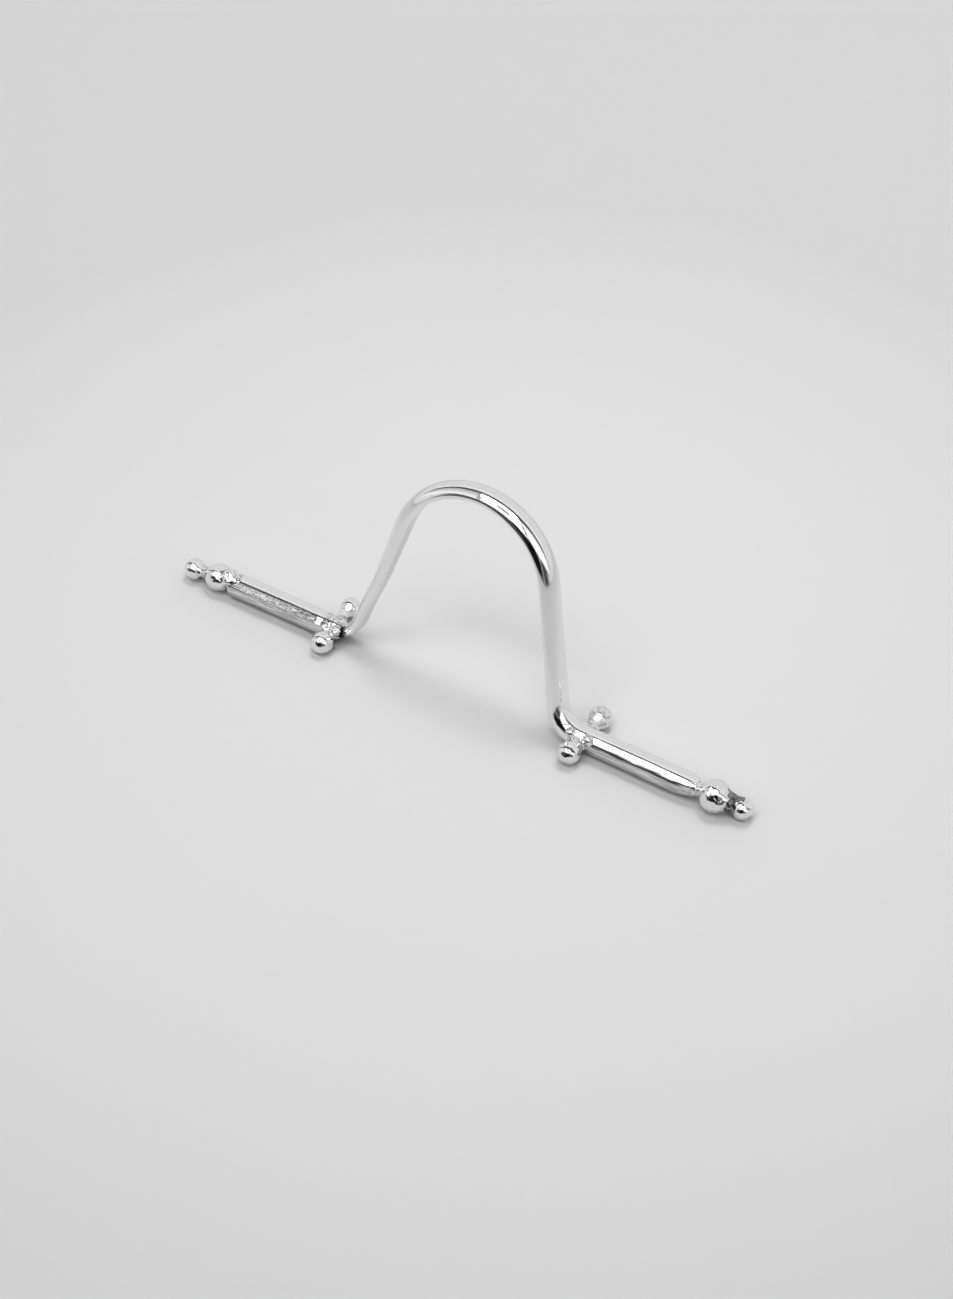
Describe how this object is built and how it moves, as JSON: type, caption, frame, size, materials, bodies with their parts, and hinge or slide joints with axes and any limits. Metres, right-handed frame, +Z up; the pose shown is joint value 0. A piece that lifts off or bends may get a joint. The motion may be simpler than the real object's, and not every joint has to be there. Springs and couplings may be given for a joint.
{
  "type": "arched finger ring",
  "caption": "Silver finger ring: a rod bent into a tall arch with a straight bar each side, balled studs at the feet and soldered beads on the ends.",
  "frame": {"origin": "on the resting plane, below the middle of the bounding box", "axes": "+X along the bars towards the right end, +Z up, +Y the side that the arch leans to"},
  "size_m": [0.06, 0.009, 0.0206],
  "materials": {
    "polished_silver": "hand-polished silver with faint file and hammer marks",
    "silver_solder": "silver solder, polished, slightly darker in the hollows"
  },
  "bodies": {
    "root": {"bent_rod": "polished_silver", "large_end_bead_left": "polished_silver", "small_end_bead_left": "polished_silver", "solder_bar_to_bead_left": "silver_solder", "solder_bead_to_bead_left": "silver_solder", "side_stud_front_left": "polished_silver", "solder_stud_front_left": "silver_solder", "side_stud_back_left": "polished_silver", "solder_stud_back_left": "silver_solder", "large_end_bead_right": "polished_silver", "small_end_bead_right": "polished_silver", "solder_bar_to_bead_right": "silver_solder", "solder_bead_to_bead_right": "silver_solder", "side_stud_front_right": "polished_silver", "solder_stud_front_right": "silver_solder", "side_stud_back_right": "polished_silver", "solder_stud_back_right": "silver_solder"}
  },
  "joints": []
}
